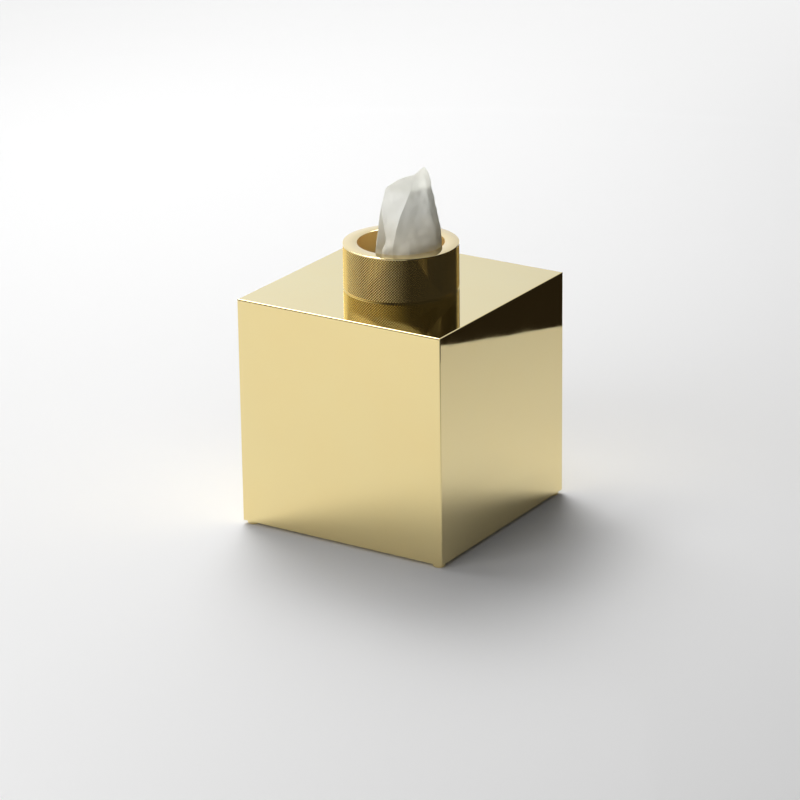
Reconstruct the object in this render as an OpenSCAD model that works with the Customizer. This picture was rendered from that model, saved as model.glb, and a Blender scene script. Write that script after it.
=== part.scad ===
// Cube tissue box: a polished brass cover with a diamond-knurled collar, lifted off a footed base tray.
// Millimetres, +Z up. The origin is the centre of the footprint, on the surface that the feet stand on.
// The front of the box faces -Y.

/* [Cover] */
// Outside width and depth of the cover
cover_w = 135; // [125:1:180]
// Height of the cover from its lower edge to its top face
cover_h = 134.5; // [125:0.5:180]
// Thickness of the brass sheet
sheet_t = 1.5; // [1:0.1:2.4]
// Outside radius of the folded edges
edge_r = 0.8; // [0.4:0.1:1.2]

/* [Collar] */
// Diameter over the plain bands of the collar
collar_d = 66.5; // [64:0.5:76]
// Wall of the collar, from its plain bands to its bore
collar_wall = 8.25; // [7.25:0.25:9.75]
// Height of the collar above the top face
collar_h = 26.4; // [18:0.2:40]
// Bevel on the collar's outer edges and on the edges of its bore
collar_bevel = 0.5; // [0.2:0.1:0.8]
// Height of the plain band above and below the knurl
plain_band = 0.9; // [0.6:0.1:2]
// Wall of the spigot that locates the collar in the top sheet
spigot_wall = 2; // [1.5:0.1:3]
// Diamonds round the knurl
knurl_count = 96; // [60:2:110]
// Depth of the knurl
knurl_depth = 0.5; // [0.2:0.05:0.8]
// How far the knurl's peaks lie below the plain bands
knurl_sink = 0.08; // [0.02:0.02:0.3]
// Width of the relief groove at each end of the knurl
relief = 0.2; // [0.1:0.05:0.5]

/* [Collar screws] */
// Number of screws that hold the collar from inside
screw_count = 4; // [3:1:6]
// Diameter of the screw thread
screw_d = 3; // [2:0.5:3]
// Length of the screw under its head
screw_len = 8; // [5:0.5:12]
// Diameter of the pan head
screw_head_d = 5.6; // [4:0.1:5.8]
// Height of the pan head
screw_head_h = 2; // [1:0.1:2.4]

/* [Base tray] */
// Thickness of the tray sheet
tray_t = 1.2; // [0.8:0.1:2]
// Gap between the tray and the inside of the cover, on each side
tray_gap = 0.3; // [0.3:0.05:0.6]
// Height of the locating lips above the tray floor
lip_h = 10; // [6:0.5:16]
// Length of the corner that each lip leaves free
lip_notch = 10; // [8.5:0.5:16]
// Inside radius of the lip's fold
fold_r = 1.2; // [0.8:0.1:2]

/* [Feet] */
// Diameter of a foot
foot_d = 7.4; // [6.6:0.1:8]
// Height of a foot, from the surface to the tray
foot_h = 2.2; // [1.6:0.1:6]
// Distance from the cover's outer faces to a foot's axis
foot_inset = 4.5; // [4.2:0.1:5]
// Radius round a foot's lower edge
foot_round = 0.8; // [0.3:0.1:1.2]
// Diameter of the rivet shank on top of a foot
rivet_d = 3; // [2:0.1:3.2]
// Diameter of the closed rivet head inside the tray
rivet_head_d = 4.6; // [4:0.1:5]
// Height of the closed rivet head
rivet_head_h = 0.9; // [0.6:0.1:1.4]
// Gap between the cover's lower edge and the feet that carry it
seat_gap = 0.2; // [0.1:0.05:0.4]

/* [Tissues] */
// Width and depth of the folded tissues
stack_w = 105; // [90:1:112]
// Height of the stack of tissues
stack_h = 88; // [40:1:96]
// Height of one visible bundle of folded sheets
bundle_h = 4; // [3:0.5:8]
// Radius round the corners of the folded sheets
stack_r = 5; // [2:0.5:12]
// How far each fold line draws in between two bundles
fold_inset = 0.7; // [0.3:0.1:1.5]
// Height of the pulled sheet's tip above the collar
pull_h = 44.5; // [30:0.5:60]
// Turn of the pulled sheet about the vertical
pull_turn = 32.6; // [0:0.1:90]
// Thickness that stands for the two plies of the pulled sheet
ply_t = 0.8; // [0.6:0.1:1]
// Clearance between the pulled sheet and the bore
pull_gap = 0.4; // [0.3:0.05:1]

/* [Hidden] */
brass = "gold";
steel = "silver";
paper = "whitesmoke";

// Heights from the surface up
cover_z = foot_h + seat_gap;
top_z = cover_z + cover_h;
rim_z = top_z + collar_h;
floor_z = foot_h + tray_t;
stack_z = floor_z + stack_h;
tip_z = rim_z + pull_h;

// Collar and its seat in the top sheet
collar_r = collar_d / 2;
bore_r = collar_r - collar_wall;
spigot_r = bore_r + spigot_wall;
spigot_gap = 0.15;
spigot_hole_r = spigot_r + spigot_gap;
screw_gap = 0.2;
thread_gap = 0.05;
thread_spare = 1;
thread_depth = screw_len - sheet_t + thread_spare;
screw_turn = 45;

// Knurl lattice: peaks and groove crossings take turns along each row. The sleeve that carries it overlaps the core.
sleeve_skin = 0.4;
sleeve_lap = 0.4;
knurl_r = collar_r - knurl_sink;
core_r = knurl_r - knurl_depth - sleeve_skin;
sleeve_r = core_r - sleeve_lap;
knurl_low = plain_band + relief;
knurl_high = collar_h - plain_band - relief;
knurl_step = 180 / knurl_count;
knurl_rows = round((knurl_high - knurl_low) / (PI * knurl_r / knurl_count));

// The screws stand midway between the spigot's hole and the knurl's core
screw_ring = (spigot_hole_r + core_r) / 2;

// Base tray and feet
tray_w = cover_w - 2 * (sheet_t + tray_gap);
tray_corner_r = 1;
fold_outer = fold_r + tray_t;
foot_at = cover_w / 2 - foot_inset;
rivet_gap = 0.05;
rivet_chamfer = 0.5;

// Rounded square prism along Z, about the axis
module rounded_prism(w, d, h, r) {
    linear_extrude(h)
        round_square(w, d, r);
}

// Square with round corners, made of bars and discs so that its arcs stay true
module round_square(w, d, r) {
    square([w - 2 * r, d], center = true);
    square([w, d - 2 * r], center = true);
    for (x = [-1, 1], y = [-1, 1])
        translate([x * (w / 2 - r), y * (d / 2 - r)]) circle(r, $fn = 48);
}

// Side view of the cover: square below, round at the two folded top edges
module cover_profile() {
    translate([-cover_w / 2, 0]) square([cover_w, cover_h - edge_r]);
    translate([-cover_w / 2 + edge_r, 0]) square([cover_w - 2 * edge_r, cover_h]);
    for (x = [-1, 1])
        translate([x * (cover_w / 2 - edge_r), cover_h - edge_r]) circle(edge_r, $fn = 48);
}

// Points round the collar, one for each screw
module at_screws() {
    for (i = [0 : screw_count - 1])
        rotate([0, 0, screw_turn + i * 360 / screw_count]) translate([screw_ring, 0, 0]) children();
}

// Box folded from one sheet, open below, with the spigot's hole and the screw holes in its top
module cover_shell() {
    inside_w = cover_w - 2 * sheet_t;
    inside_h = cover_h - sheet_t;
    color(brass)
    translate([0, 0, cover_z])
    difference() {
        intersection() {
            rounded_prism(cover_w, cover_w, cover_h, edge_r);
            rotate([90, 0, 0]) linear_extrude(cover_w, center = true) cover_profile();
            rotate([90, 0, 90]) linear_extrude(cover_w, center = true) cover_profile();
        }
        translate([-inside_w / 2, -inside_w / 2, -sheet_t]) cube([inside_w, inside_w, inside_h + sheet_t]);
        translate([0, 0, inside_h - sheet_t]) {
            cylinder(h = 3 * sheet_t, r = spigot_hole_r, $fn = 96);
            at_screws() cylinder(h = 3 * sheet_t, r = screw_d / 2 + screw_gap, $fn = 32);
        }
    }
}

// One point of the knurl lattice: even places are peaks, odd places lie in the grooves
function knurl_point(i, j) =
    let (r = (i + j) % 2 == 0 ? knurl_r : knurl_r - knurl_depth,
         z = knurl_low + (knurl_high - knurl_low) * j / knurl_rows)
    [r * cos(i * knurl_step), r * sin(i * knurl_step), z];

// Each cell of the lattice is split along the groove that crosses it
function knurl_cell(i, j) =
    let (n = 2 * knurl_count,
         a = j * n + i,
         b = j * n + (i + 1) % n,
         c = (j + 1) * n + (i + 1) % n,
         d = (j + 1) * n + i)
    (i + j) % 2 == 0 ? [[a, d, b], [b, d, c]] : [[a, c, b], [a, d, c]];

// Sleeve with the diamond pattern round it and a plain round inside
module knurled_sleeve() {
    n = 2 * knurl_count;
    m = n * (knurl_rows + 1);
    points = concat(
        [for (j = [0 : knurl_rows], i = [0 : n - 1]) knurl_point(i, j)],
        [for (z = [knurl_low, knurl_high], i = [0 : n - 1])
            [sleeve_r * cos(i * knurl_step), sleeve_r * sin(i * knurl_step), z]]);
    sides = [for (j = [0 : knurl_rows - 1], i = [0 : n - 1]) each knurl_cell(i, j)];
    rest = [for (i = [0 : n - 1])
               let (k = (i + 1) % n,
                    top = n * knurl_rows)
               each [[i, k, m + k], [i, m + k, m + i],
                     [top + k, top + i, m + n + i], [top + k, m + n + i, m + n + k],
                     [m + i, m + k, m + n + k], [m + i, m + n + k, m + n + i]]];
    polyhedron(points, concat(sides, rest), convexity = 4);
}

// Turned outline: spigot, plain bands and the core that carries the knurl
module collar_turning() {
    r = collar_r;
    b = collar_bevel;
    h = collar_h;
    rotate_extrude($fn = 128)
        polygon([[bore_r + b, -sheet_t], [spigot_r, -sheet_t], [spigot_r, 0], [r - b, 0], [r, b], [r, plain_band],
                 [core_r, plain_band], [core_r, h - plain_band], [r, h - plain_band], [r, h - b], [r - b, h],
                 [bore_r + b, h], [bore_r, h - b], [bore_r, b - sheet_t]]);
}

module collar() {
    color(brass)
    translate([0, 0, top_z])
    union() {
        difference() {
            collar_turning();
            translate([0, 0, -sheet_t])
                at_screws() cylinder(h = thread_depth + sheet_t, r = screw_d / 2 + thread_gap, $fn = 32);
        }
        knurled_sleeve();
    }
}

// Pan-head screw with its head below z = 0 and its shank above, and a cross recess in the head
module pan_screw() {
    dome = 0.6;
    tip = 0.5;
    slot_w = 0.8;
    slot_len = 0.6 * screw_head_d;
    difference() {
        rotate_extrude($fn = 48)
            polygon([[0, -screw_head_h], [screw_head_d / 2 - dome, -screw_head_h],
                     [screw_head_d / 2, dome - screw_head_h], [screw_head_d / 2, 0], [screw_d / 2, 0],
                     [screw_d / 2, screw_len - tip], [screw_d / 2 - tip, screw_len], [0, screw_len]]);
        for (a = [0, 90])
            rotate([0, 0, a])
                translate([0, 0, -screw_head_h])
                    cube([slot_len, slot_w, screw_head_h], center = true);
    }
}

module collar_screws() {
    color(steel)
    translate([0, 0, top_z - sheet_t]) at_screws() pan_screw();
}

// One folded lip along +X, with its fold at the tray's edge
module lip(length) {
    translate([tray_w / 2 - fold_outer, length / 2, fold_outer])
        rotate([90, 0, 0])
            linear_extrude(length) {
                intersection() {
                    difference() {
                        circle(fold_outer, $fn = 64);
                        circle(fold_r, $fn = 64);
                    }
                    translate([0, -fold_outer]) square(fold_outer);
                }
                translate([fold_r, 0]) square([tray_t, lip_h + tray_t - fold_outer]);
            }
}

// Sheet tray with four folded lips, free at its corners, where the feet are riveted on
module base_tray() {
    lip_len = tray_w - 2 * lip_notch;
    flat = tray_w - 2 * fold_outer;
    color(brass)
    translate([0, 0, foot_h])
    difference() {
        union() {
            linear_extrude(tray_t) {
                square([flat, lip_len], center = true);
                square([lip_len, flat], center = true);
                for (x = [-1, 1], y = [-1, 1])
                    translate([x * (tray_w - lip_notch) / 2, y * (tray_w - lip_notch) / 2])
                        round_square(lip_notch, lip_notch, tray_corner_r);
            }
            for (a = [0 : 90 : 270])
                rotate([0, 0, a]) lip(lip_len);
        }
        for (x = [-1, 1], y = [-1, 1])
            translate([x * foot_at, y * foot_at, -tray_t])
                cylinder(h = 3 * tray_t, r = rivet_d / 2 + rivet_gap, $fn = 32);
    }
}

// Turned foot: rounded disc, shank through the tray, closed head on top
module foot(x, y) {
    r = foot_d / 2;
    color(brass)
    translate([x * foot_at, y * foot_at, 0])
        rotate_extrude($fn = 64) {
            translate([0, foot_round]) square([r, foot_h - foot_round]);
            square([r - foot_round, foot_h]);
            translate([r - foot_round, foot_round]) intersection() {
                circle(foot_round, $fn = 48);
                translate([0, -foot_round]) square(foot_round);
            }
            square([rivet_d / 2, floor_z + rivet_head_h]);
            translate([0, floor_z])
                polygon([[0, 0], [rivet_head_d / 2, 0], [rivet_head_d / 2, rivet_head_h - rivet_chamfer],
                         [rivet_head_d / 2 - rivet_chamfer, rivet_head_h], [0, rivet_head_h]]);
        }
}

module foot_front_left() { foot(-1, -1); }

module foot_front_right() { foot(1, -1); }

module foot_back_left() { foot(-1, 1); }

module foot_back_right() { foot(1, 1); }

// Bundles of folded sheets, drawn in at each fold line between them
module tissue_stack() {
    bundles = round(stack_h / bundle_h);
    pitch = stack_h / bundles;
    groove = 0.3 * pitch;
    core_w = stack_w - 2 * fold_inset;
    color(paper)
    translate([0, 0, floor_z]) {
        rounded_prism(core_w, core_w, stack_h, stack_r - fold_inset);
        for (i = [0 : bundles - 1])
            translate([0, 0, i * pitch + groove / 2])
                rounded_prism(stack_w, stack_w, pitch - groove, stack_r);
    }
}

// The pulled sheet is drawn between creases. Each crease is a list of places seen from above, as shares of the room
// in the bore: at the rim, at shares of the height above it, and at its own end.
// An entry is [share of the height above the rim, across, towards the viewer].
room = bore_r - pull_gap - ply_t / 2;
free_edge = [[0, -0.54, 0.80], [0.13, -0.36, 0.58], [0.32, -0.40, 0.38], [0.45, -0.42, 0.25], [0.73, -0.32, 0.20]];
left_panel = [[0, -0.38, 0.90], [0.25, -0.26, 0.68], [0.50, -0.18, 0.50], [0.82, 0.04, 0.30]];
main_crease = [[0, -0.19, 0.98], [0.25, -0.12, 0.85], [0.59, 0.12, 0.54], [0.75, 0.25, 0.37], [0.93, 0.40, 0.20]];
right_panel = [[0, 0.34, 0.90], [0.30, 0.32, 0.58], [0.65, 0.38, 0.30], [1.00, 0.50, 0.10]];
side_crease = [[0, 0.82, 0.55], [0.39, 0.69, 0.30], [0.75, 0.58, 0.18], [0.99, 0.54, 0.07]];
right_fold = [[0, 0.95, 0.28], [0.20, 0.92, 0.16], [0.60, 0.79, 0.06], [0.89, 0.66, 0.03], [0.95, 0.60, 0.02]];
back_turn = [[0, 0.84, 0.06], [0.30, 0.78, 0.00], [0.80, 0.58, -0.05]];
back_panel = [[0, 0.32, -0.04], [0.40, 0.24, -0.02], [0.72, 0.34, -0.02]];
inner_fold = [[0, -0.10, 0.30], [0.30, -0.08, 0.16], [0.68, 0.04, 0.02]];
left_edge = [[0, -0.60, 0.77], [0.22, -0.53, 0.52], [0.36, -0.46, 0.30], [0.60, -0.34, 0.04]];
creases = [free_edge, left_panel, main_crease, right_panel, side_crease, right_fold, back_turn, back_panel,
           inner_fold, left_edge];

// Below the collar the sheet spreads over the stack. Each crease has a place in the throat, as above, and one on the
// stack, as shares of half the stack's width.
throat = [[-0.50, 0.66], [-0.32, 0.80], [-0.12, 0.86], [0.34, 0.78], [0.76, 0.42], [0.86, 0.14], [0.74, -0.18],
          [0.26, -0.50], [-0.28, -0.24], [-0.62, 0.40]];
spread = [[-0.62, 0.50], [-0.46, 0.70], [-0.12, 0.84], [0.26, 0.64], [0.66, 0.66], [0.84, 0.16], [0.68, -0.34],
          [0.22, -0.82], [-0.40, -0.62], [-0.82, -0.02]];
screw_clear = 4;
throat_z = top_z - sheet_t - screw_head_h - screw_clear;

// Height, across and away for every place along one crease, from the stack to its own end
function crease_path(k) =
    concat([[stack_z, spread[k][0] * stack_w / 2, -spread[k][1] * stack_w / 2],
            [throat_z, throat[k][0] * room, -throat[k][1] * room]],
           [for (p = creases[k]) [rim_z + p[0] * pull_h, p[1] * room, -p[2] * room]]);

// Slope of a path at one of its places
function path_slope(p, i) =
    let (a = p[max(i - 1, 0)],
         b = p[min(i + 1, len(p) - 1)])
    (b - a) / (b[0] - a[0]);

// Smooth place on a path at height z
function along(p, z) =
    let (i = max([for (k = [0 : len(p) - 2]) p[k][0] <= z ? k : 0]),
         w = p[i + 1][0] - p[i][0],
         u = (z - p[i][0]) / w,
         start_slope = path_slope(p, i) * w,
         end_slope = path_slope(p, i + 1) * w)
    (2 * u^3 - 3 * u^2 + 1) * p[i] + (u^3 - 2 * u^2 + u) * start_slope
    + (3 * u^2 - 2 * u^3) * p[i + 1] + (u^3 - u^2) * end_slope;

// Sheet drawn level by level between the creases, with its plies' thickness to both sides
module pulled_tissue() {
    levels = 30;
    paths = [for (k = [0 : len(creases) - 1]) crease_path(k)];
    n = len(paths);
    // Middle of the sheet: level by level, crease by crease
    mid = [for (v = [0 : levels])
              [for (p = paths)
                  let (end_z = p[len(p) - 1][0],
                       q = along(p, stack_z + (end_z - stack_z) * v / levels))
                  [q[1], q[2], q[0]]]];
    // Across the sheet, square to its run seen from above
    side = [for (v = [0 : levels])
               [for (k = [0 : n - 1])
                   let (a = mid[v][max(k - 1, 0)],
                        b = mid[v][min(k + 1, n - 1)],
                        d = [b[1] - a[1], a[0] - b[0], 0])
                   d / norm(d)]];
    points = [for (s = [1, -1], v = [0 : levels], k = [0 : n - 1]) mid[v][k] + s * ply_t / 2 * side[v][k]];
    m = n * (levels + 1);
    front = [for (v = [0 : levels - 1], k = [0 : n - 2])
                let (a = v * n + k)
                each [[a, a + 1, a + n + 1], [a, a + n + 1, a + n]]];
    back = [for (f = front) [f[0] + m, f[2] + m, f[1] + m]];
    rim = concat([for (k = [0 : n - 1]) k],
                 [for (v = [1 : levels]) v * n + n - 1],
                 [for (k = [n - 2 : -1 : 0]) levels * n + k],
                 [for (v = [levels - 1 : -1 : 1]) v * n]);
    edge = [for (i = [0 : len(rim) - 1])
               let (a = rim[i],
                    b = rim[(i + 1) % len(rim)])
               each [[a, a + m, b], [b, a + m, b + m]]];
    color(paper)
    rotate([0, 0, pull_turn])
        polyhedron(points, concat(front, back, edge), convexity = 10);
}

cover_shell();
collar();
collar_screws();
base_tray();
foot_front_left();
foot_front_right();
foot_back_left();
foot_back_right();
tissue_stack();
pulled_tissue();
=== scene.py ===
# %% [markdown]
# A cube tissue box in polished brass
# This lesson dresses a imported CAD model. The real thing is a brass box folded from sheet, with a turned and
# knurled collar in its top, standing over a flat tray on four small feet. A stack of folded tissues lies on
# the tray, and one sheet stands up through the collar. The CAD model is loaded first and stays as it is:
# every piece that is made here is placed by it. All lengths are in metres.

import math

import bmesh
import bpy
from mathutils import Euler, Matrix, Vector, noise


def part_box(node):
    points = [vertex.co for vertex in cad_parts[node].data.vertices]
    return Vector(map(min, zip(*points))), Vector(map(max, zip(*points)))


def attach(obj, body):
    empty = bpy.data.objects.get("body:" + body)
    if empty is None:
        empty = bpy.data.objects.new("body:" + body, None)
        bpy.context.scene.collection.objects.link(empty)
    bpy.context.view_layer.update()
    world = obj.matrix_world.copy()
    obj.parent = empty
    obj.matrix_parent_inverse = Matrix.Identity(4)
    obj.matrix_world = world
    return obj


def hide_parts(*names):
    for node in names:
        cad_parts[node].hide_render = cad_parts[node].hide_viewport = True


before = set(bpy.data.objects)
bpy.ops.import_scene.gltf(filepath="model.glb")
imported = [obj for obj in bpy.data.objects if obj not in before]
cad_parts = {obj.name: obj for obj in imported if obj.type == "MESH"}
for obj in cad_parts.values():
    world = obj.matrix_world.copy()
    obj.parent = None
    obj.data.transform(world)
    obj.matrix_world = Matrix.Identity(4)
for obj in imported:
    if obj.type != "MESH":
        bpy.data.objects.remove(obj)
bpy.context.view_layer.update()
print("CAD nodes:", sorted(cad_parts))

# %% [markdown]
# Sizes come from the model wherever it holds them. The box of a node gives its lowest and highest corner,
# so the height of the collar's rim, the top face and the top of the stack are read and not typed. The bore
# lies inside the collar's box, so it follows from the collar's wall.

# %% Read the sizes that the pieces share
MM = 0.001
COLLAR_WALL = 8.25 * MM

cover_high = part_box("cover_shell")[1]
collar_low, collar_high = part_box("collar")
stack_low, stack_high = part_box("tissue_stack")
tissue_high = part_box("pulled_tissue")[1]

TOP_Z = cover_high.z
RIM_Z = collar_high.z
STACK_Z = stack_high.z
STACK_W = stack_high.x - stack_low.x
SHEET_T = TOP_Z - collar_low.z
COLLAR_R = collar_high.x
BORE_R = COLLAR_R - COLLAR_WALL
print("top face", round(TOP_Z, 4), "rim", round(RIM_Z, 4))
print("stack", round(STACK_Z, 4), "bore radius", round(BORE_R, 4))

# %% [markdown]
# The camera comes first, because every later choice is judged through it. The photograph was taken with a
# long lens from the front right and a little above. A long lens far away keeps the upright edges nearly
# parallel, as they are there. The angles are the azimuth round the box, the height above the horizon and a
# small roll of the camera.

# %% Place the camera
AZIMUTH = math.radians(32.59)
ELEVATION = math.radians(20.35)
ROLL = math.radians(-0.74)
LENS_MM = 164.8
SENSOR_MM = 36.0
DISTANCE = 2.11275
AIM = Vector((0, 0, 69.9 * MM))
AIM_RIGHT = -1.63 * MM
AIM_UP = -2.55 * MM
FARTHEST_SEEN = 20


def add_object(name, data):
    """A new object in the scene that shows the data."""
    obj = bpy.data.objects.new(name, data)
    bpy.context.scene.collection.objects.link(obj)
    return obj


turn = Euler((math.pi / 2 - ELEVATION, 0, 0)).to_matrix()
turn = Matrix.Rotation(AZIMUTH, 3, "Z") @ turn @ Matrix.Rotation(ROLL, 3, "Z")
camera_right, camera_up, camera_back = turn.col[0], turn.col[1], turn.col[2]
aim = AIM + camera_right * AIM_RIGHT + camera_up * AIM_UP

camera_data = bpy.data.cameras.new("photo_camera")
camera_data.lens = LENS_MM
camera_data.sensor_width = SENSOR_MM
camera_data.clip_end = FARTHEST_SEEN
camera = add_object("photo_camera", camera_data)
camera.matrix_world = Matrix.Translation(aim + camera_back * DISTANCE) @ turn.to_4x4()
bpy.context.scene.camera = camera
print("camera at", [round(v, 3) for v in aim + camera_back * DISTANCE])

# %% [markdown]
# The floor, the lamps and the folds of the sheet are all judged from the camera, so it helps to say where
# they are as the camera sees it: so far to the right, so far away and so high. Three directions and one
# function do that.

# %% Directions on the floor, as the camera sees them
RIGHT = Vector((math.cos(AZIMUTH), math.sin(AZIMUTH), 0))
AWAY = Vector((-math.sin(AZIMUTH), math.cos(AZIMUTH), 0))
UP = Vector((0, 0, 1))


def seen_from_camera(right, away, up):
    """A place given by its distance to the right, away from the camera and above the floor."""
    return RIGHT * right + AWAY * away + UP * up


print("away from the camera:", [round(v, 3) for v in AWAY])

# %% [markdown]
# A few helpers do what a hand does before each tool: choose one object, enter edit mode and pick what the
# tool works on by its place. They keep the steps below short.

# %% Helpers for modelling
def choose(obj):
    """Select one object alone and make it the active one."""
    bpy.ops.object.select_all(action="DESELECT")
    obj.select_set(True)
    bpy.context.view_layer.objects.active = obj


def start_edit(obj):
    """Open one object in edit mode with nothing selected."""
    choose(obj)
    bpy.ops.object.mode_set(mode="EDIT")
    bpy.ops.mesh.select_all(action="DESELECT")


def end_edit():
    bpy.ops.object.mode_set(mode="OBJECT")


def pick(obj, kind, rule):
    """Select the vertices, edges or faces of obj, in edit mode, for which the rule holds."""
    modes = {"verts": "VERT", "edges": "EDGE", "faces": "FACE"}
    bpy.ops.mesh.select_mode(type=modes[kind])
    mesh = bmesh.from_edit_mesh(obj.data)
    for part in getattr(mesh, kind):
        part.select_set(rule(part))
    mesh.select_flush_mode()
    bmesh.update_edit_mesh(obj.data)


def new_object(name):
    """The object that the last tool made, under its own name."""
    obj = bpy.context.active_object
    obj.name = name
    obj.data.name = name
    return obj


def settle(obj):
    """Put the object at the origin with its place in its mesh."""
    choose(obj)
    bpy.ops.object.transform_apply(location=True, rotation=True, scale=True)


def smooth(obj, degrees):
    """Shade smooth, and keep the edges hard where faces meet at more than the angle."""
    choose(obj)
    bpy.ops.object.shade_smooth_by_angle(angle=math.radians(degrees))


# %% [markdown]
# The stage is a wide pale floor with one dark card on it. The card is there for the metal: the dark band
# along the top of the photograph's right face is something dark that stands or lies to the right, seen as
# in a mirror. A whole studio could be built for such reflections, but one flat card is enough, because only
# its near edge shows. The card is seen by mirror reflections alone. It stands in front of no camera and
# takes no light from the floor.

# %% Lay out the stage
FLOOR_SIZE = 8.0
CARD_FROM = 0.12
CARD_WIDE = 2.4
CARD_LONG = 4.4
CARD_AWAY = 0.4
CARD_LIFT = 0.5 * MM


def card(name, middle, size_right, size_away):
    """A flat card on the floor, turned as the camera is, with its middle at a place."""
    bpy.ops.mesh.primitive_plane_add(size=1)
    obj = new_object(name)
    axes = Matrix((RIGHT * size_right, AWAY * size_away, UP)).transposed()
    obj.matrix_world = Matrix.Translation(middle) @ axes.to_4x4()
    settle(obj)
    return obj


card_middle = seen_from_camera(CARD_FROM + CARD_WIDE / 2, CARD_AWAY, CARD_LIFT)
floor = card("floor", Vector((0, 0, 0)), FLOOR_SIZE, FLOOR_SIZE)
dark_card = card("dark_card", card_middle, CARD_WIDE, CARD_LONG)
dark_card.visible_camera = False
dark_card.visible_diffuse = False
dark_card.visible_shadow = False
dark_card.visible_transmission = False
print("dark card from", CARD_FROM, "to", round(CARD_FROM + CARD_WIDE, 2), "on the right")

# %% [markdown]
# A material is a small graph of nodes, and so is the world. These helpers add nodes and wire them, so that
# each finish below reads as the list of what makes it up. What two finishes need alike, such as noise that
# is fixed to a piece or a number that runs from one value to another, has a helper of its own.

# %% Helpers for materials
def wire(owner, output, target):
    owner.node_tree.links.new(output, target)


def node(owner, kind, inputs=None, **settings):
    """A new node of a material or the world, with its settings made and its inputs wired or set."""
    made = owner.node_tree.nodes.new("ShaderNode" + kind)
    for setting, value in settings.items():
        setattr(made, setting, value)
    for socket, value in (inputs or {}).items():
        if isinstance(value, bpy.types.NodeSocket):
            wire(owner, value, made.inputs[socket])
        else:
            made.inputs[socket].default_value = value
    return made


def new_material(name, **values):
    """A material with a Principled shader whose sockets take the values given."""
    material = bpy.data.materials.new(name)
    material.use_nodes = True
    shader = material.node_tree.nodes["Principled BSDF"]
    for socket, value in values.items():
        shader.inputs[socket.replace("_", " ")].default_value = value
    return material, shader


# %% Helpers that make a number
def combine(owner, operation, first, second):
    """One number made from two, by an operation such as MULTIPLY."""
    return node(owner, "Math", {0: first, 1: second}, operation=operation).outputs["Value"]


def ramp(owner, factor, low, high, from_min=0.0, from_max=1.0, kind="LINEAR"):
    """A number that runs from low to high as the factor runs from from_min to from_max."""
    made = node(owner, "MapRange", {"Value": factor, "From Min": from_min, "From Max": from_max,
                                    "To Min": low, "To Max": high}, interpolation_type=kind)
    return made.outputs["Result"]


def far_along(owner, place, direction):
    """How far a place lies in a direction."""
    made = node(owner, "VectorMath", {0: place, 1: direction}, operation="DOT_PRODUCT")
    return made.outputs["Value"]


def object_place(material):
    """The place of the shaded point, as its piece is modelled."""
    return node(material, "TexCoord").outputs["Object"]


def object_noise(material, scale, detail=2.0, roughness=0.5):
    """Noise that is fixed to the piece, with about scale blobs to the metre."""
    return node(material, "TexNoise", {"Vector": object_place(material), "Scale": scale, "Detail": detail,
                                       "Roughness": roughness}).outputs["Fac"]


# %% Helpers that mix colours and shaders
def mixed_colour(owner, factor, first, second, blend="MIX"):
    """A colour mixed from two, each a plain colour or the output of a node."""
    made = node(owner, "Mix", {"Factor": factor}, data_type="RGBA", blend_type=blend)
    ends = [socket for socket in made.inputs if socket.type == "RGBA"]
    for end, colour in zip(ends, (first, second)):
        if isinstance(colour, bpy.types.NodeSocket):
            wire(owner, colour, end)
        else:
            end.default_value = (*colour, 1)
    return [socket for socket in made.outputs if socket.type == "RGBA"][0]


def mixed_shader(owner, share, first, second):
    """Two shaders in one, of which the second has the share."""
    return node(owner, "MixShader", {"Fac": share, 1: first, 2: second}).outputs[0]


def show_as(material, shader_output):
    """Let the material's surface be what a shader gives."""
    wire(material, shader_output, material.node_tree.nodes["Material Output"].inputs["Surface"])


# %% [markdown]
# The real floor is a roll of matt studio paper that sweeps up behind the object, so no horizon shows. A
# curved sheet could be modelled for it, but it would stand on one side only and be wrong from behind. Here
# the floor stays flat and turns clear past the part that the photograph shows, where it fades into the
# backdrop.

# %% Finish: studio paper
SWEEP = (0.85, 1.5)
PAPER_GRAIN = 900.0
PAPER_DARK = (0.88, 0.88, 0.88)
PAPER_LIGHT = (0.90, 0.90, 0.90)

studio_paper, paper_shader = new_material("studio_paper", Roughness=0.7, Specular_IOR_Level=0.2)
grain = object_noise(studio_paper, PAPER_GRAIN)
tone = mixed_colour(studio_paper, grain, PAPER_DARK, PAPER_LIGHT)
wire(studio_paper, tone, paper_shader.inputs["Base Color"])
from_middle = node(studio_paper, "VectorMath", {0: object_place(studio_paper)}, operation="LENGTH")
swept_away = ramp(studio_paper, from_middle.outputs["Value"], 0.0, 1.0, *SWEEP)
clear = node(studio_paper, "BsdfTransparent").outputs[0]
show_as(studio_paper, mixed_shader(studio_paper, swept_away, paper_shader.outputs[0], clear))
floor.data.materials.append(studio_paper)
print("floor fades from", SWEEP[0], "to", SWEEP[1])

# %% [markdown]
# The card is nearly black and solid past one line, which draws the lower edge of the dark band. Nearer to
# the box it is a thin veil that deepens outwards: painted shade, seen only in reflections, because the right
# face mirrors a floor that grows darker there. It closes to the front as well, as painted shade in
# reflections, where facets of the knurl would otherwise catch a bright strip of floor. All of it is one share
# between a clear and a black shader, worked out from the place on the card.

# %% Finish: dark card
CARD_BLACK = (0.024, 0.018, 0.011, 1.0)
DARK_FROM = 0.356
DARK_EDGE = 1 * MM
VEIL = 0.14
FRONT_FADE = (0.10, 0.45)
FRONT_SHARE = 0.9

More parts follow.
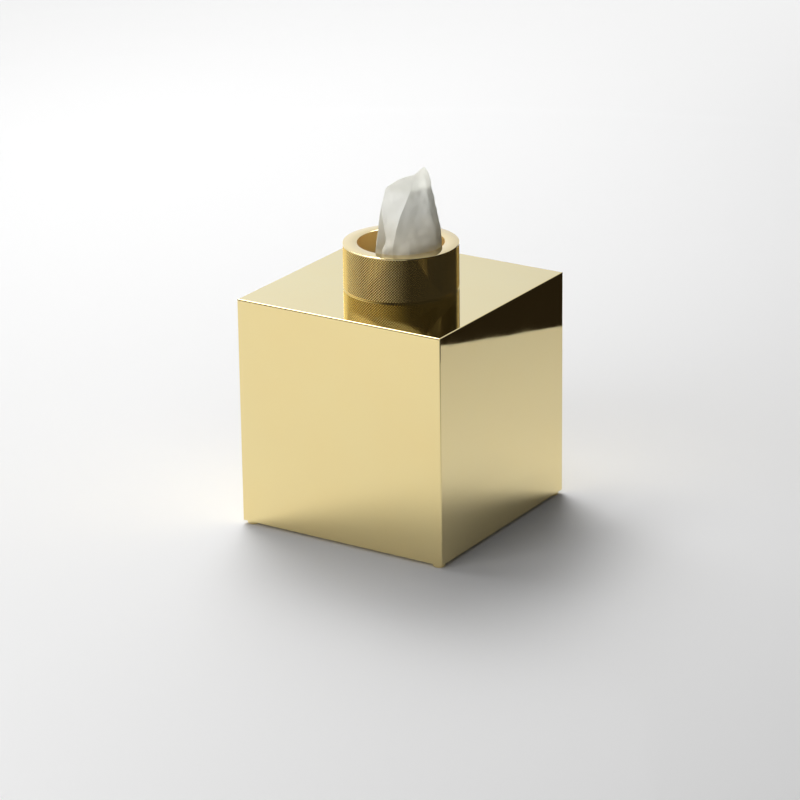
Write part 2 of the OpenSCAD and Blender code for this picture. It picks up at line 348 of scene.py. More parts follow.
card_black, card_shader = new_material("card_black", Base_Color=CARD_BLACK, Roughness=0.9,
                                       Specular_IOR_Level=0.0)
place = object_place(card_black)
outwards = far_along(card_black, place, RIGHT)
# Painted shade in reflections: the veil nearer the box and the share to the front darken only what metal
# mirrors
veil = ramp(card_black, outwards, 0.0, VEIL, CARD_FROM, DARK_FROM)
solid = ramp(card_black, outwards, 0.0, 1 - VEIL, DARK_FROM - DARK_EDGE, DARK_FROM + DARK_EDGE)
front = ramp(card_black, far_along(card_black, place, -AWAY), 0.0, FRONT_SHARE, *FRONT_FADE)
covered = combine(card_black, "MAXIMUM", combine(card_black, "ADD", veil, solid), front)
clear = node(card_black, "BsdfTransparent").outputs[0]
show_as(card_black, mixed_shader(card_black, covered, clear, card_shader.outputs[0]))
dark_card.data.materials.append(card_black)
print("card solid from", DARK_FROM, "with a veil of", VEIL)

# %% [markdown]
# The light is soft and comes from behind on the left, so the shadow falls to the front right. One large
# panel is the key, with a small core that makes its middle brighter. The other panels fill the shadow and
# even out the floor. A single world colour could do that too, but it can't be stronger on one side. Metal
# doesn't see the filling panels, because each would stand in a polished face as a bright square.

# %% Hang the soft panels
MIDDLE = Vector((0, 0, 30 * MM))
# Degrees of turn from the camera's right and of height, distance, size, watts, and whether metal sees it
PANELS = {
    "key_panel": (106, 52, 1.7, 1.1, 16.5, True),
    "key_core": (106, 52, 1.69, 0.5, 2.7, True),
    "back_panel": (82, 20, 1.7, 1.1, 3.7, False),
    "left_low_panel": (225, 30, 1.0, 0.7, 2.9, False),
    "front_panel": (270, 35, 1.7, 0.9, 2.9, False),
    "left_top_panel": (155, 65, 1.7, 0.5, 2.7, False),
    "top_panel": (135, 70, 1.0, 0.7, 1.35, False),
}


def from_angles(turn_deg, height_deg, distance):
    """A place by its turn from the camera's right, its height above the floor and its distance."""
    turned, raised = math.radians(turn_deg), math.radians(height_deg)
    level = distance * math.cos(raised)
    return seen_from_camera(level * math.cos(turned), level * math.sin(turned), distance * math.sin(raised))


def hang(name, data, place, towards, seen_in_metal):
    """A lamp at a place, turned towards another, that the camera itself doesn't see."""
    lamp = add_object(name, data)
    lamp.location = place
    lamp.rotation_euler = (place - towards).to_track_quat("Z", "Y").to_euler()
    lamp.visible_camera = False
    lamp.visible_glossy = seen_in_metal


for name, (turn_deg, height_deg, distance, size, watts, seen_in_metal) in PANELS.items():
    data = bpy.data.lights.new(name, "AREA")
    data.size = size
    data.energy = watts
    hang(name, data, from_angles(turn_deg, height_deg, distance), MIDDLE, seen_in_metal)
print("soft panels:", len(PANELS))

# %% [markdown]
# The standing tissue is bright on its left and front, where the key doesn't reach it. In a studio a small
# reflector could do that. Here it is a spot whose cone is only as wide as the standing sheet and fades to
# its rim, so no edge of light shows on the brass.

# %% Aim a spot at the tissue
SPOT_WATTS = 41
SPOT_CONE = math.radians(4.4)
SPOT_RADIUS = 0.02
SPOT_FROM = (205, 66, 1.2)
TISSUE_UP = 22 * MM
TISSUE_FORWARD = 8 * MM

tissue_middle = seen_from_camera(0, -TISSUE_FORWARD, RIM_Z + TISSUE_UP)
spot = bpy.data.lights.new("tissue_spot", "SPOT")
spot.energy = SPOT_WATTS
spot.spot_size = SPOT_CONE
spot.spot_blend = 1.0
spot.shadow_soft_size = SPOT_RADIUS
hang("tissue_spot", spot, tissue_middle + from_angles(*SPOT_FROM), tissue_middle, False)
print("spot aimed at", [round(v, 3) for v in tissue_middle])

# %% [markdown]
# Polished brass has hardly a look of its own: it shows what is round it. The walls of the box mirror the
# floor and the card. The top face, the rim and the knurl mirror what stands higher, and the photograph
# doesn't show that room, so it was worked out backwards from their reflections. Low down it is bright
# behind the box and on the left, and fades to dark in front and on the right. Overhead it is bright only
# behind the box. An image of a real room could be used instead, but a few soft steps between directions are
# easier to follow and to change. Each step is 1 near a turn from the camera's right and fades out between
# two cosines.

# %% Directions of the room
world = bpy.data.worlds.new("studio")
bpy.context.scene.world = world
world.use_nodes = True
world.node_tree.nodes.clear()

way = node(world, "TexCoord").outputs["Generated"]
level_way = node(world, "VectorMath", {0: way, 1: (1, 1, 0)}, operation="MULTIPLY").outputs[0]
level_way = node(world, "VectorMath", {0: level_way}, operation="NORMALIZE").outputs[0]


def turned_to(turn_deg, from_cosine, to_cosine, kind="SMOOTHSTEP"):
    """1 for directions near a turn from the camera's right, fading to 0 between two cosines."""
    side = RIGHT * math.cos(math.radians(turn_deg)) + AWAY * math.sin(math.radians(turn_deg))
    return ramp(world, far_along(world, level_way, side), 0.0, 1.0, from_cosine, to_cosine, kind)


# %% Brightness of the room
LEFT_TURN = 150
BEHIND_TURN = 108
PAST_LEFT_TURN = 200
LEFT_FADE = (-0.1, 0.85)
LEFT_CURVE = 1.6
RIGHT_END = (-0.08, 0.06)
BEHIND_FADE = (0.1, 0.5)
PAST_LEFT_FADE = (0.60, 0.85)
CORNER_FADE = (0.38, 0.58)
CORNER_LIGHT = (0.76, 1.0)
OVERHEAD = (0.45, 0.6)
ROOM_DARK = 0.035
ROOM_LEFT = 0.95
BACKDROP = 0.93

left = combine(world, "POWER", turned_to(LEFT_TURN, *LEFT_FADE, "LINEAR"), LEFT_CURVE)
left = ramp(world, left, ROOM_DARK, ROOM_LEFT)
behind = turned_to(BEHIND_TURN, *BEHIND_FADE)
behind_low = combine(world, "MULTIPLY", behind, turned_to(LEFT_TURN, *RIGHT_END))
corner = ramp(world, turned_to(LEFT_TURN, *CORNER_FADE), *CORNER_LIGHT)
low_room = combine(world, "MAXIMUM", left, combine(world, "MULTIPLY", behind_low, corner))

not_left = ramp(world, turned_to(PAST_LEFT_TURN, *PAST_LEFT_FADE), 1.0, 0.0)
high_room = combine(world, "MAXIMUM", combine(world, "MULTIPLY", behind, not_left), ROOM_DARK)

height = node(world, "SeparateXYZ", {0: way}).outputs["Z"]
overhead = ramp(world, height, 0.0, 1.0, *OVERHEAD, "SMOOTHSTEP")
room = combine(world, "MULTIPLY", ramp(world, overhead, low_room, high_room), BACKDROP)
print("room from", ROOM_DARK, "to", ROOM_LEFT, "of the backdrop's", BACKDROP)

# %% [markdown]
# The camera sees a plain pale backdrop, and metal sees the room. All other rays find only a faint fill, so
# the lamps alone light the object. A ray that has left the matt floor and then meets metal gets the fill as
# well: otherwise the bright room would reach the floor by way of the brass, as a glow that the photograph
# doesn't have.

# %% Say what sees the room
WORLD_FILL = 0.01
WHITE = (1, 1, 1, 1)

path = node(world, "LightPath").outputs
in_mirror = combine(world, "MAXIMUM", path["Is Glossy Ray"], path["Is Transmission Ray"])
not_from_floor = combine(world, "LESS_THAN", path["Diffuse Depth"], 0.5)
sees_room = combine(world, "MULTIPLY", in_mirror, not_from_floor)
fill, shown_room, backdrop = [node(world, "Background", {"Color": WHITE, "Strength": strength}).outputs[0]
                              for strength in (WORLD_FILL, room, BACKDROP)]
unseen = mixed_shader(world, sees_room, fill, shown_room)
world_output = node(world, "OutputWorld")
wire(world, mixed_shader(world, path["Is Camera Ray"], unseen, backdrop), world_output.inputs["Surface"])
bpy.context.scene.view_settings.view_transform = "Standard"
print("world nodes:", len(world.node_tree.nodes))

# %% [markdown]
# Polished brass is a metal with a warm yellow colour, nearly as smooth as a mirror, under a thin clear
# lacquer. The lacquer is a coat: it adds a plain white reflection at flat angles, which is why the top face
# looks paler than the sides. The metal has an edge tint as well, and on the cover it takes a little red out
# at flat angles. A folded sheet is never quite level, so a broad, very shallow bump bends the reflections a
# little, and a faint cloud in the roughness stands for handling and wiping. An image of scratches could be
# laid on it, but noise has no seams and no repeats.

# %% Helper for brass
BRASS = (0.94, 0.78, 0.37)
BRASS_DEEP = (0.94, 0.74, 0.33)
MIRROR = (0.022, 0.05)
LACQUER_ROUGH = 0.02
CLOUD_SCALE = 22.0
SMEAR_SCALE = 60.0
SWAY_SCALE = 14.0
SMEAR_SPAN = (0.3, 0.7)


def polished(name, wave=0.0, roughness=MIRROR, bright=BRASS, deep=BRASS_DEEP, coat=1.0, edge_red=1.0,
             metal=1.0):
    """A brass finish: wave is the depth of its dents, and roughness its smoothest and roughest places."""
    material, shader = new_material(name, Metallic=metal, Coat_Weight=coat, Coat_Roughness=LACQUER_ROUGH,
                                    Specular_Tint=(edge_red, 1.0, 1.0, 1.0))
    cloud = object_noise(material, CLOUD_SCALE, 3.0)
    wire(material, mixed_colour(material, cloud, deep, bright), shader.inputs["Base Color"])
    smear = object_noise(material, SMEAR_SCALE, 4.0, 0.6)
    wire(material, ramp(material, smear, *roughness, *SMEAR_SPAN), shader.inputs["Roughness"])
    sway = object_noise(material, SWAY_SCALE, 1.0, 0.3)
    bump = node(material, "Bump", {"Height": sway, "Distance": wave, "Strength": 1.0})
    wire(material, bump.outputs["Normal"], shader.inputs["Normal"])
    wire(material, bump.outputs["Normal"], shader.inputs["Coat Normal"])
    return material


# %% [markdown]
# Each piece was made in its own way, and its finish follows from that. The cover is polished sheet with its
# slight waves. The collar is turned, so it has none. The knurl is cut and bare, so it is deeper in colour
# and less smooth. The bore is only brushed: it scatters light as much as it mirrors it, so it is partly
# metal and partly matt.

# %% Finishes: the kinds of brass
CUT_BRASS = (0.94, 0.73, 0.31)
CUT_BRASS_DEEP = (0.93, 0.70, 0.28)
BORE_BRASS = (0.96, 0.74, 0.34)
BORE_BRASS_DEEP = (0.96, 0.71, 0.31)

cover_brass = polished("polished_brass", wave=0.3 * MM, edge_red=0.92)
foot_brass = polished("turned_brass", roughness=(0.08, 0.16))
tray_brass = polished("satin_tray_brass", wave=0.04 * MM, roughness=(0.22, 0.34), coat=0.0)
collar_brass = polished("collar_brass")
knurl_brass = polished("knurl_brass", roughness=(0.08, 0.12), bright=CUT_BRASS, deep=CUT_BRASS_DEEP, coat=0.0)
bore_brass = polished("bore_brass", roughness=(0.26, 0.34), bright=BORE_BRASS, deep=BORE_BRASS_DEEP, coat=0.0,
                      metal=0.6)
print("brass finishes:", sum("brass" in material.name for material in bpy.data.materials))

# %% [markdown]
# The screws inside are plain stainless steel, a little cloudy and less smooth than the brass. The pieces
# that keep their CAD shape are dressed here: the cover, the tray, the screws and the four feet. Their flat
# faces and true arcs need no new modelling, and so they stay exactly as the CAD model has them.

# %% Finish: screw steel, and dress the CAD pieces
STEEL_DARK = (0.5, 0.5, 0.49)
STEEL_LIGHT = (0.62, 0.62, 0.61)
STEEL_ROUGH = (0.25, 0.4)
STEEL_CLOUD = 400.0
STEEL_GRAIN = 900.0

screw_steel, screw_shader = new_material("screw_steel", Metallic=1.0)
tone = mixed_colour(screw_steel, object_noise(screw_steel, STEEL_CLOUD), STEEL_DARK, STEEL_LIGHT)
wire(screw_steel, tone, screw_shader.inputs["Base Color"])
grain = object_noise(screw_steel, STEEL_GRAIN, 4.0)
wire(screw_steel, ramp(screw_steel, grain, *STEEL_ROUGH), screw_shader.inputs["Roughness"])


def dress(name, material):
    """Give a CAD node a finish of its own."""
    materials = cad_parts[name].data.materials
    materials.clear()
    materials.append(material)
    print(name, "is", material.name)


dress("cover_shell", cover_brass)
dress("base_tray", tray_brass)
dress("collar_screws", screw_steel)
for side in ("front_left", "front_right", "back_left", "back_right"):
    dress("foot_" + side, foot_brass)

# %% [markdown]
# The collar is turned on a lathe, and Spin is Blender's lathe: a chain of points is drawn as the outline of
# one side and swept round the axis. The outline has bevelled edges, a plain band at each end and a shallow
# relief next to it, where the knurling wheel runs out. Between them it has a point at every half pitch of
# the knurl. A cylinder with the knurl as a bump would be quicker, but its outline would stay smooth and its
# facets couldn't flash.

# %% Draw the outline of one side
KNURL_COUNT = 132
KNURL_DEPTH = 0.30 * MM
KNURL_SINK = 0.02 * MM
BEVEL = 0.25 * MM
BEVEL_STEPS = 3
PLAIN_BAND = 0.65 * MM
RELIEF = 0.1 * MM
RELIEF_WALL = 0.02 * MM
SPIGOT_WALL = 2 * MM

knurl_r = COLLAR_R - KNURL_SINK
relief_r = knurl_r - KNURL_DEPTH
knurl_low = TOP_Z + PLAIN_BAND + RELIEF
knurl_high = RIM_Z - PLAIN_BAND - RELIEF
knurl_h = knurl_high - knurl_low
knurl_rows = round(knurl_h / (math.pi * knurl_r / KNURL_COUNT))


def corner(radius, height, start, steps=BEVEL_STEPS):
    """Points round a bevelled corner, from one direction to the next, anticlockwise."""
    angles = [start + math.pi / 2 * step / steps for step in range(steps + 1)]
    return [(radius + BEVEL * math.cos(a), height + BEVEL * math.sin(a)) for a in angles]


low_z = TOP_Z - SHEET_T
outline = [(BORE_R + SPIGOT_WALL, low_z), (BORE_R + SPIGOT_WALL, TOP_Z)]
outline += corner(COLLAR_R - BEVEL, TOP_Z + BEVEL, -math.pi / 2)
outline += [(COLLAR_R, TOP_Z + PLAIN_BAND), (relief_r, TOP_Z + PLAIN_BAND + RELIEF_WALL)]
outline += [(knurl_r, knurl_low + knurl_h * row / knurl_rows) for row in range(knurl_rows + 1)]
outline += [(relief_r, RIM_Z - PLAIN_BAND - RELIEF_WALL), (COLLAR_R, RIM_Z - PLAIN_BAND)]
outline += corner(COLLAR_R - BEVEL, RIM_Z - BEVEL, 0)
outline += corner(BORE_R + BEVEL, RIM_Z - BEVEL, math.pi / 2)
outline += corner(BORE_R + BEVEL, low_z + BEVEL, math.pi)
print("outline:", len(outline), "points,", knurl_rows, "rows of knurl")

# %% Spin the outline round the axis
WELD = 0.005 * MM

bpy.ops.mesh.primitive_plane_add(size=2 * MM)
collar = new_object("knurled_collar")
start_edit(collar)
mesh = bmesh.from_edit_mesh(collar.data)
mesh.verts.ensure_lookup_table()
bmesh.ops.delete(mesh, geom=mesh.verts[1:], context="VERTS")
mesh.verts.ensure_lookup_table()
mesh.verts[0].co = (outline[0][0], 0, outline[0][1])
mesh.verts[0].select_set(True)
bmesh.update_edit_mesh(collar.data)
for before, after in zip(outline, outline[1:]):
    step = (after[0] - before[0], 0, after[1] - before[1])
    bpy.ops.mesh.extrude_region_move(TRANSFORM_OT_translate={"value": step})
bpy.ops.mesh.select_all(action="SELECT")
bpy.ops.mesh.edge_face_add()
pick(collar, "faces", lambda face: True)
bpy.ops.mesh.delete(type="ONLY_FACE")
bpy.ops.mesh.select_mode(type="EDGE")
bpy.ops.mesh.select_all(action="SELECT")
bpy.ops.mesh.spin(steps=2 * KNURL_COUNT, angle=2 * math.pi, center=(0, 0, 0), axis=(0, 0, 1))
bpy.ops.mesh.select_all(action="SELECT")
bpy.ops.mesh.remove_doubles(threshold=WELD)
bpy.ops.mesh.select_all(action="SELECT")
bpy.ops.mesh.normals_make_consistent(inside=False)
end_edit()
print("collar turned:", len(collar.data.vertices), "points")

# %% [markdown]
# A knurling wheel presses two sets of grooves at 45 degrees into the outside, which leaves rows of
# four-sided points. The same happens here. The sweep has twice as many steps as there are diamonds, and
# every second point of the grid is pressed in, so that peaks and groove crossings take turns. Each square
# of the grid is then split along its groove. Real peaks are a little blunt, so a small bevel takes off each
# tip and gives it a flat crest.

# %% Press the knurl
NEAR = 0.01 * MM
GRID_MARGIN = 0.05 * MM
CREST = 0.05 * MM
CREST_MARGIN = 0.1 * MM


def from_axis(place):
    return math.hypot(place.x, place.y)


def on_knurl(place, margin=0.0):
    """True for places between the knurl's two ends, or as far past them as the margin."""
    return knurl_low - margin < place.z < knurl_high + margin


def is_pressed(vert):
    """True for every second point of the knurl's grid."""
    if not on_knurl(vert.co, NEAR) or from_axis(vert.co) < knurl_r - NEAR:
        return False
    row = round((vert.co.z - knurl_low) / knurl_h * knurl_rows)
    column = round(math.atan2(vert.co.y, vert.co.x) / (math.pi / KNURL_COUNT))
    return (row + column) % 2 == 1


def is_grid_square(face):
    outermost = max(from_axis(vert.co) for vert in face.verts)
    return outermost > relief_r - GRID_MARGIN and on_knurl(face.calc_center_median(), NEAR)


def is_peak(vert):
    return on_knurl(vert.co, -CREST_MARGIN) and from_axis(vert.co) > knurl_r - NEAR


start_edit(collar)
pick(collar, "verts", is_pressed)
press = relief_r / knurl_r
bpy.ops.transform.resize(value=(press, press, 1), center_override=(0, 0, 0))
pick(collar, "faces", is_grid_square)
bpy.ops.mesh.quads_convert_to_tris(quad_method="SHORTEST_DIAGONAL")
pick(collar, "verts", is_peak)
bpy.ops.mesh.bevel(offset=CREST, affect="VERTICES")
end_edit()
smooth(collar, 25)
print("knurl pressed:", len(collar.data.polygons), "faces")

# %% [markdown]
# The collar has three finishes, and each face takes the one of its place: polished on the bands, bevels and
# rim, cut on the knurl and brushed in the bore. It stands for the CAD's collar and moves with the cover.

# %% Finish the collar and hand it over
FINISH_MARGIN = 0.1 * MM

for material in (collar_brass, knurl_brass, bore_brass):
    collar.data.materials.append(material)
for face in collar.data.polygons:
    if on_knurl(face.center) and from_axis(face.center) > relief_r - FINISH_MARGIN:
        face.material_index = 1
    elif from_axis(face.center) < BORE_R + FINISH_MARGIN:
        face.material_index = 2
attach(collar, "cover")
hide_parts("collar")
print("knurl faces:", sum(face.material_index == 1 for face in collar.data.polygons))

# %% [markdown]
# The tissues below are folded sheets, laid one on another, and each sheet's two ends are tucked into its
# neighbours. One folded sheet is a thin block with round corners and soft edges. It is modelled once and
# copied, each copy a little shifted and turned, because no stack is perfectly square. An Array modifier
# would be shorter, but it can't shift each copy in its own way. The shifts come from noise with a seed, so
# that every run makes the same stack.

# %% Model one folded sheet
LAYERS = 66
LAYER_R = 5 * MM
LAYER_FILL = 0.98
LAYER_EDGE = 0.42
SHIFT = 0.35 * MM

layer_h = (STACK_Z - stack_low.z) / LAYERS
layer_w = STACK_W - 4 * SHIFT


def rise(edge):
    return abs(edge.verts[0].co.z - edge.verts[1].co.z)


bpy.ops.mesh.primitive_cube_add(size=1)
layer = new_object("folded_sheet")
layer.scale = (layer_w, layer_w, layer_h * LAYER_FILL)
settle(layer)
start_edit(layer)
pick(layer, "edges", lambda edge: rise(edge) > layer_h * 0.5)
bpy.ops.mesh.bevel(offset=LAYER_R, segments=5)
pick(layer, "edges", lambda edge: rise(edge) < layer_h * 0.1 and len(edge.link_faces) == 2)
bpy.ops.mesh.bevel(offset=layer_h * LAYER_EDGE, segments=2)
end_edit()
print("one folded sheet:", len(layer.data.polygons), "faces,", round(layer_h, 5), "high")

# %% Stack the copies
TWIST = 0.006
STEP_IN_NOISE = 0.83
SEED = 7

noise.seed_set(SEED)
layers = []
for index in range(LAYERS):
    copy = add_object("folded_sheet", layer.data.copy())
    drift = noise.noise_vector(Vector((index * STEP_IN_NOISE, 2.7, 5.1)))
    copy.location = (drift.x * SHIFT, drift.y * SHIFT, stack_low.z + (index + 0.5) * layer_h)
    copy.rotation_euler = (0, 0, drift.z * TWIST)
    layers.append(copy)
choose(layers[0])
for copy in layers:
    copy.select_set(True)
bpy.ops.object.join()
stack = new_object("folded_tissues")
settle(stack)
bpy.data.objects.remove(layer)
smooth(stack, 40)
print("folded tissues:", len(stack.data.polygons), "faces")

# %% [markdown]
# The pulled sheet is one thin sheet. Its border still lies flat on the stack with its rim folded under, its
# middle is gathered by the collar, and its upper part stands up and leans on the front of the bore. A cloth
# simulation could drop a sheet through the ring, but it wouldn't fall into the folds of the photograph. So
# the sheet is drawn along its creases: each one is a line of places from the stack up through the throat
# and the rim to the sheet's upper edge. The front layer runs from the free edge on the left over the main
# crease to the fold on the right. There the sheet turns and comes back behind itself, a little lower, so
# that its tip is a single layer and lets more light through.

# %% Draw the creases of the pulled sheet
# Millimetres: over the rim, to the right and towards the viewer
CREASES = {
    "free_edge": [(0.0, -11.0, 21.6), (6.2, -8.4, 17.0), (11.7, -9.3, 13.5), (20.2, -10.6, 10.0),
                  (25.2, -10.4, 8.5), (32.9, -8.4, 6.0)],
    "flap_fold": [(0.0, -9.3, 22.6), (6.3, -8.1, 17.6), (12.0, -8.7, 14.6), (20.5, -9.3, 11.1),
                  (25.5, -8.9, 9.4), (34.4, -7.0, 5.4)],
    "left_panel": [(0.0, -7.3, 23.2), (8.4, -5.8, 19.4), (14.8, -5.5, 16.8), (21.5, -5.0, 13.4),
                   (28.0, -3.8, 10.8), (38.2, -0.3, 4.4)],
    "main_crease": [(0.0, -4.8, 23.9), (11.5, -2.9, 21.5), (19.9, -0.3, 17.6), (26.5, 2.8, 13.8),
                    (33.7, 6.0, 9.8), (38.3, 7.4, 7.2), (41.0, 8.0, 5.4)],
    "right_panel": [(0.0, 5.4, 23.3), (8.8, 7.2, 17.5), (17.9, 8.9, 12.2), (24.8, 10.3, 9.2),
                    (32.3, 11.8, 6.0), (45.2, 13.3, 4.8)],
    "side_crease": [(0.0, 20.0, 12.6), (5.8, 19.4, 10.6), (13.6, 18.3, 8.8), (19.3, 17.0, 7.6),
                    (26.2, 15.8, 6.3), (32.9, 14.9, 4.6), (42.2, 15.4, 2.2)],
    "right_fold": [(0.0, 22.9, 6.4), (5.1, 22.9, 4.0), (12.5, 21.9, 2.6), (17.8, 20.9, 1.8),
                   (24.9, 19.4, 1.0), (31.4, 17.9, 0.4), (37.8, 16.7, -0.2)],
    "back_turn": [(0.0, 20.0, 0.6), (9.0, 18.6, 0.0), (20.0, 16.9, -0.8), (31.0, 14.2, -1.6)],
    "back_panel": [(0.0, 8.0, -1.0), (10.0, 7.2, -1.5), (20.0, 6.8, -1.6), (31.0, 6.6, -1.8)],
    "inner_fold": [(0.0, -4.5, 6.5), (10.0, -3.6, 3.5), (20.0, -2.8, 1.0), (31.0, -2.0, -0.6)],
    "left_edge": [(0.0, -14.2, 19.6), (9.2, -13.0, 12.0), (17.0, -11.9, 8.0), (23.0, -10.7, 5.2),
                  (30.0, -8.6, 2.4)],
}
# Millimetres: to the right and towards the viewer, in the throat and where the sheet leaves the stack
THROAT = [(-12.4, 17.6), (-10.2, 19.4), (-7.6, 20.2), (-3.2, 20.9), (8.2, 18.9), (18.4, 10.2), (20.8, 3.4),
          (17.9, -4.4), (6.3, -12.1), (-6.8, -5.8), (-15.8, 9.7)]
SPREAD = [(-33.0, 26.0), (-29.0, 31.0), (-22.0, 34.0), (-8.0, 38.0), (14.0, 36.0), (33.0, 28.0), (40.0, 8.0),
          (34.0, -16.0), (12.0, -38.0), (-20.0, -33.0), (-40.0, -4.0)]
THROAT_Z = TOP_Z - SHEET_T - 6 * MM
SHOULDER = 6 * MM
SHOULDER_OUT = 0.55
SKIRT_LIFT = 0.9 * MM


def crease_path(number, places):
    """Places on one crease, from where it leaves the stack to its upper end."""
    foot, throat = SPREAD[number], THROAT[number]
    shoulder = [SHOULDER_OUT * low + (1 - SHOULDER_OUT) * high for low, high in zip(foot, throat)]
    points = [(*foot, STACK_Z + SKIRT_LIFT), (*shoulder, STACK_Z + SHOULDER), (*throat, THROAT_Z)]
    points += [(right, towards, RIM_Z + over * MM) for over, right, towards in places]
    return [Vector((right * MM, -towards * MM, height)) for right, towards, height in points]


paths = [crease_path(number, places) for number, places in enumerate(CREASES.values())]
print("creases:", len(paths))

# %% [markdown]
# A sheet between creases is smooth paper that bends. Lines run up along the creases, and at each level a
# curve crosses them: it is round at the soft creases and nearly straight between the sharp ones. A
# subdivided cage would smooth all creases alike.

# %% Curves along the creases and across the sheet
BETWEEN = 9
SHARP = {"free_edge": 1.0, "flap_fold": 0.7, "main_crease": 1.0, "side_crease": 0.5, "right_fold": 0.6,
         "left_edge": 1.0}
sharpness = [SHARP.get(name, 0.0) for name in CREASES]


def curve(t, first, leaving, last, arriving):
    """A place on a smooth curve between two, which it leaves and reaches in two directions."""
    return ((2 * t**3 - 3 * t**2 + 1) * first + (t**3 - 2 * t**2 + t) * leaving
            + (3 * t**2 - 2 * t**3) * last + (t**3 - t**2) * arriving)


def along(points, share):
    """The place at a share of a crease's length, on a smooth line through its points."""
    marks = [0.0]
    for before, after in zip(points, points[1:]):
        marks.append(marks[-1] + (after - before).length)
    target = share * marks[-1]
    index = min(max(i for i, mark in enumerate(marks) if mark <= target + 1e-9), len(points) - 2)
    reach = marks[index + 1] - marks[index]

    def slope(i):
        first, last = max(i - 1, 0), min(i + 1, len(points) - 1)
        return (points[last] - points[first]) / (marks[last] - marks[first]) * reach

    t = (target - marks[index]) / reach
    return curve(t, points[index], slope(index), points[index + 1], slope(index + 1))


def across(row):
    """Places across the sheet at one level, from its place on each crease."""
    made = []
    for k in range(len(row) - 1):
        first, last = row[k], row[k + 1]
        straight = last - first
        tangents = []
        for at in (k, k + 1):
            soft = (row[min(at + 1, len(row) - 1)] - row[max(at - 1, 0)]) / 2
            soft *= min(1.0, straight.length / max(soft.length, 1e-9))
            tangents.append(straight.lerp(soft, 1 - sharpness[at]))
        made += [curve(step / BETWEEN, first, tangents[0], last, tangents[1]) for step in range(BETWEEN)]
    made.append(row[-1])
    return made


# %% [markdown]
# The part of the sheet that rises is turned to face the camera's side of the box, as the photograph has it.
# From its foot the paper runs out flat to the border of the stack, and there it turns under and runs back
# in, as the folded sheet did before it was pulled.

# %% Lay the fine sheet over the creases
PULL_TURN = AZIMUTH
LEVELS = 150
SKIRT_ROWS = 14
SKIRT_ROOM = 1.5 * MM
UNDER_IN = 0.1
UNDER_LIFT = 0.35 * MM


def to_border(point):
    """The point on the square border of the folded stack that lies straight outwards."""
    half = STACK_W / 2 - SKIRT_ROOM
    reach = half / max(abs(point.x), abs(point.y))
    return Vector((point.x * reach, point.y * reach, point.z))


turn_sheet = Matrix.Rotation(PULL_TURN, 3, "Z")
rising = [[turn_sheet @ point for point in across([along(points, level / LEVELS) for points in paths])]
          for level in range(LEVELS + 1)]
steps = [step / SKIRT_ROWS for step in range(SKIRT_ROWS)]
skirt = [[point.lerp(to_border(point), 1 - step) for point in rising[0]] for step in steps]
shares = [UNDER_IN + (1 - UNDER_IN) * step for step in steps]
under = [[Vector((point.x * share, point.y * share, STACK_Z + UNDER_LIFT)) for point in skirt[0]]
         for share in shares]
flat_rows = len(under) + len(skirt)
grid = under + skirt + rising
columns = len(grid[0])
print("rows:", len(grid), "columns:", columns)

# %% [markdown]
# Pulled tissue is crumpled: small flat facets meet in fine creases. Voronoi noise has such facets, and two
# sizes of it move the paper along its own normal. It is drawn out along the height, because the pull
# stretches the crumples. They start small where the sheet leaves the stack. Noise on the finish alone would
# leave the outline smooth.

# %% Crumple the paper
WRINKLE = 0.8 * MM
WRINKLE_TALL = 11 * MM
WRINKLE_WIDE = 6 * MM
WRINKLE_ROWS = 20
FINER = 1.9
FINER_SHARE = 0.45
FINER_PLACE = Vector((3.1, 1.7, 0.4))
MEAN_HEIGHT = 0.75


def crumple(point):
    """Height of the paper's crumples, as a share of their depth."""
    at = Vector((point.x / WRINKLE_WIDE, point.y / WRINKLE_WIDE, point.z / WRINKLE_TALL))
    broad = noise.voronoi(at)[0][0]
    fine = noise.voronoi(at * FINER + FINER_PLACE)[0][0]
    return broad + FINER_SHARE * fine - MEAN_HEIGHT


crumpled = []
for v in range(flat_rows + 1, len(grid)):
    above, below = grid[min(v + 1, len(grid) - 1)], grid[v - 1]
    weight = min(1.0, (v - flat_rows) / WRINKLE_ROWS) * WRINKLE
    row = []
    for u, point in enumerate(grid[v]):
        sideways = grid[v][min(u + 1, columns - 1)] - grid[v][max(u - 1, 0)]
        row.append(point + sideways.cross(above[u] - below[u]).normalized() * crumple(point) * weight)
    crumpled.append(row)
grid[flat_rows + 1:] = crumpled
tip_z = max(point.z for row in grid for point in row)
print("tip over the CAD sheet's, in mm:", round((tip_z - tissue_high.z) / MM, 2))

# %% [markdown]
# The grid becomes a mesh of four-sided faces. A real tissue is about a tenth of a millimetre thick. Here
# Solidify gives it a little more, so that its edge shows at this size and the two sides can be shaded
# apart.

# %% Make the sheet and give it its thickness
PLY = 0.22 * MM

faces = [(v * columns + u, v * columns + u + 1, (v + 1) * columns + u + 1, (v + 1) * columns + u)
         for v in range(len(grid) - 1) for u in range(columns - 1)]
sheet_mesh = bpy.data.meshes.new("pulled_sheet")
sheet_mesh.from_pydata([point for row in grid for point in row], [], faces)
pulled = add_object("pulled_sheet", sheet_mesh)
print("sheet area, square metres:", round(sum(face.area for face in sheet_mesh.polygons), 5))

choose(pulled)
thicken = pulled.modifiers.new("two plies", "SOLIDIFY")
thicken.thickness = PLY
thicken.offset = 0
bpy.ops.object.modifier_apply(modifier=thicken.name)
smooth(pulled, 22)
print("pulled sheet:", len(pulled.data.polygons), "faces")
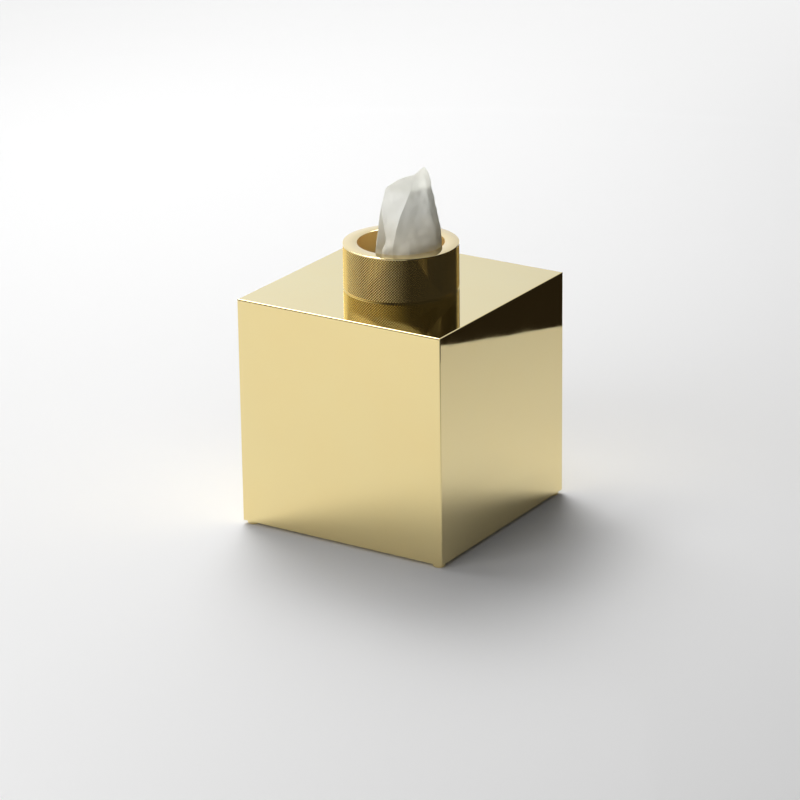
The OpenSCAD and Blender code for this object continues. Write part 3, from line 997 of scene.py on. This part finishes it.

# %% [markdown]
# Tissue is thin white paper that lets light through. A glass-like shader would bend the light, so the
# finish is a rough white surface mixed with a Translucent one, which only passes it on, and a fine crepe
# bump. At the tip, where the sheet is a single layer, more light comes through. Just at the rim the brass
# throws its colour on the paper. A warm, slightly darker tint in that band deepens it: painted reflected
# light and shade.

# %% Finish: tissue paper
TISSUE_LIGHT = (0.92, 0.92, 0.89)
TISSUE_DEEP = (0.87, 0.87, 0.835)
# Painted reflected light and shade: a warm, darker tint in a band round the rim stands for the brass's colour
# on the paper
PAINTED_BRASS_BOUNCE = (0.94, 0.90, 0.81)
PLAIN = (1.0, 1.0, 1.0)
PAINTED_BOUNCE_TOP = (RIM_Z - 2 * MM, RIM_Z + 20 * MM)
PAINTED_BOUNCE_LOW = (RIM_Z - 26 * MM, RIM_Z - 6 * MM)
SINGLE_FROM = (RIM_Z + 31 * MM, RIM_Z + 33.5 * MM)
SINGLE_MORE = 0.28
TISSUE_CLOUD = 120.0
CREPE_GRAIN = 1800.0
CREPE_DEPTH = 0.06 * MM


def tissue_paper(name, through):
    """Thin paper, of which a share of the light goes through."""
    material, shader = new_material(name, Roughness=0.9, Specular_IOR_Level=0.15)
    tone = mixed_colour(material, object_noise(material, TISSUE_CLOUD, 3.0), TISSUE_DEEP, TISSUE_LIGHT)
    height = node(material, "SeparateXYZ", {0: object_place(material)}).outputs["Z"]
    # Painted reflected light and shade from the brass, in a band round the rim
    over_band = ramp(material, height, 0.0, 1.0, *PAINTED_BOUNCE_TOP)
    under_band = ramp(material, height, 1.0, 0.0, *PAINTED_BOUNCE_LOW)
    painted_bounce = mixed_colour(material, combine(material, "MAXIMUM", over_band, under_band), PAINTED_BRASS_BOUNCE, PLAIN)
    tone = mixed_colour(material, 1.0, tone, painted_bounce, "MULTIPLY")
    wire(material, tone, shader.inputs["Base Color"])
    crepe = object_noise(material, CREPE_GRAIN, 3.0, 0.6)
    bump = node(material, "Bump", {"Height": crepe, "Distance": CREPE_DEPTH, "Strength": 0.6})
    bent = bump.outputs["Normal"]
    wire(material, bent, shader.inputs["Normal"])
    glow = node(material, "BsdfTranslucent", {"Color": tone, "Normal": bent}).outputs[0]
    share = ramp(material, height, through, through + SINGLE_MORE, *SINGLE_FROM)
    show_as(material, mixed_shader(material, share, shader.outputs[0], glow))
    return material


pulled.data.materials.append(tissue_paper("pulled_paper", 0.5))
stack.data.materials.append(tissue_paper("stack_paper", 0.1))
print("tissue finishes:", pulled.data.materials[0].name, stack.data.materials[0].name)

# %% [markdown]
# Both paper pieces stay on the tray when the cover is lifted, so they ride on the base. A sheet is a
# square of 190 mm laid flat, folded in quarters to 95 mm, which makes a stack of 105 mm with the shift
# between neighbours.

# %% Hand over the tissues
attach(pulled, "base")
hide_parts("pulled_tissue")
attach(stack, "base")
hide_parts("tissue_stack")
print("sheet and stack ride on the base")
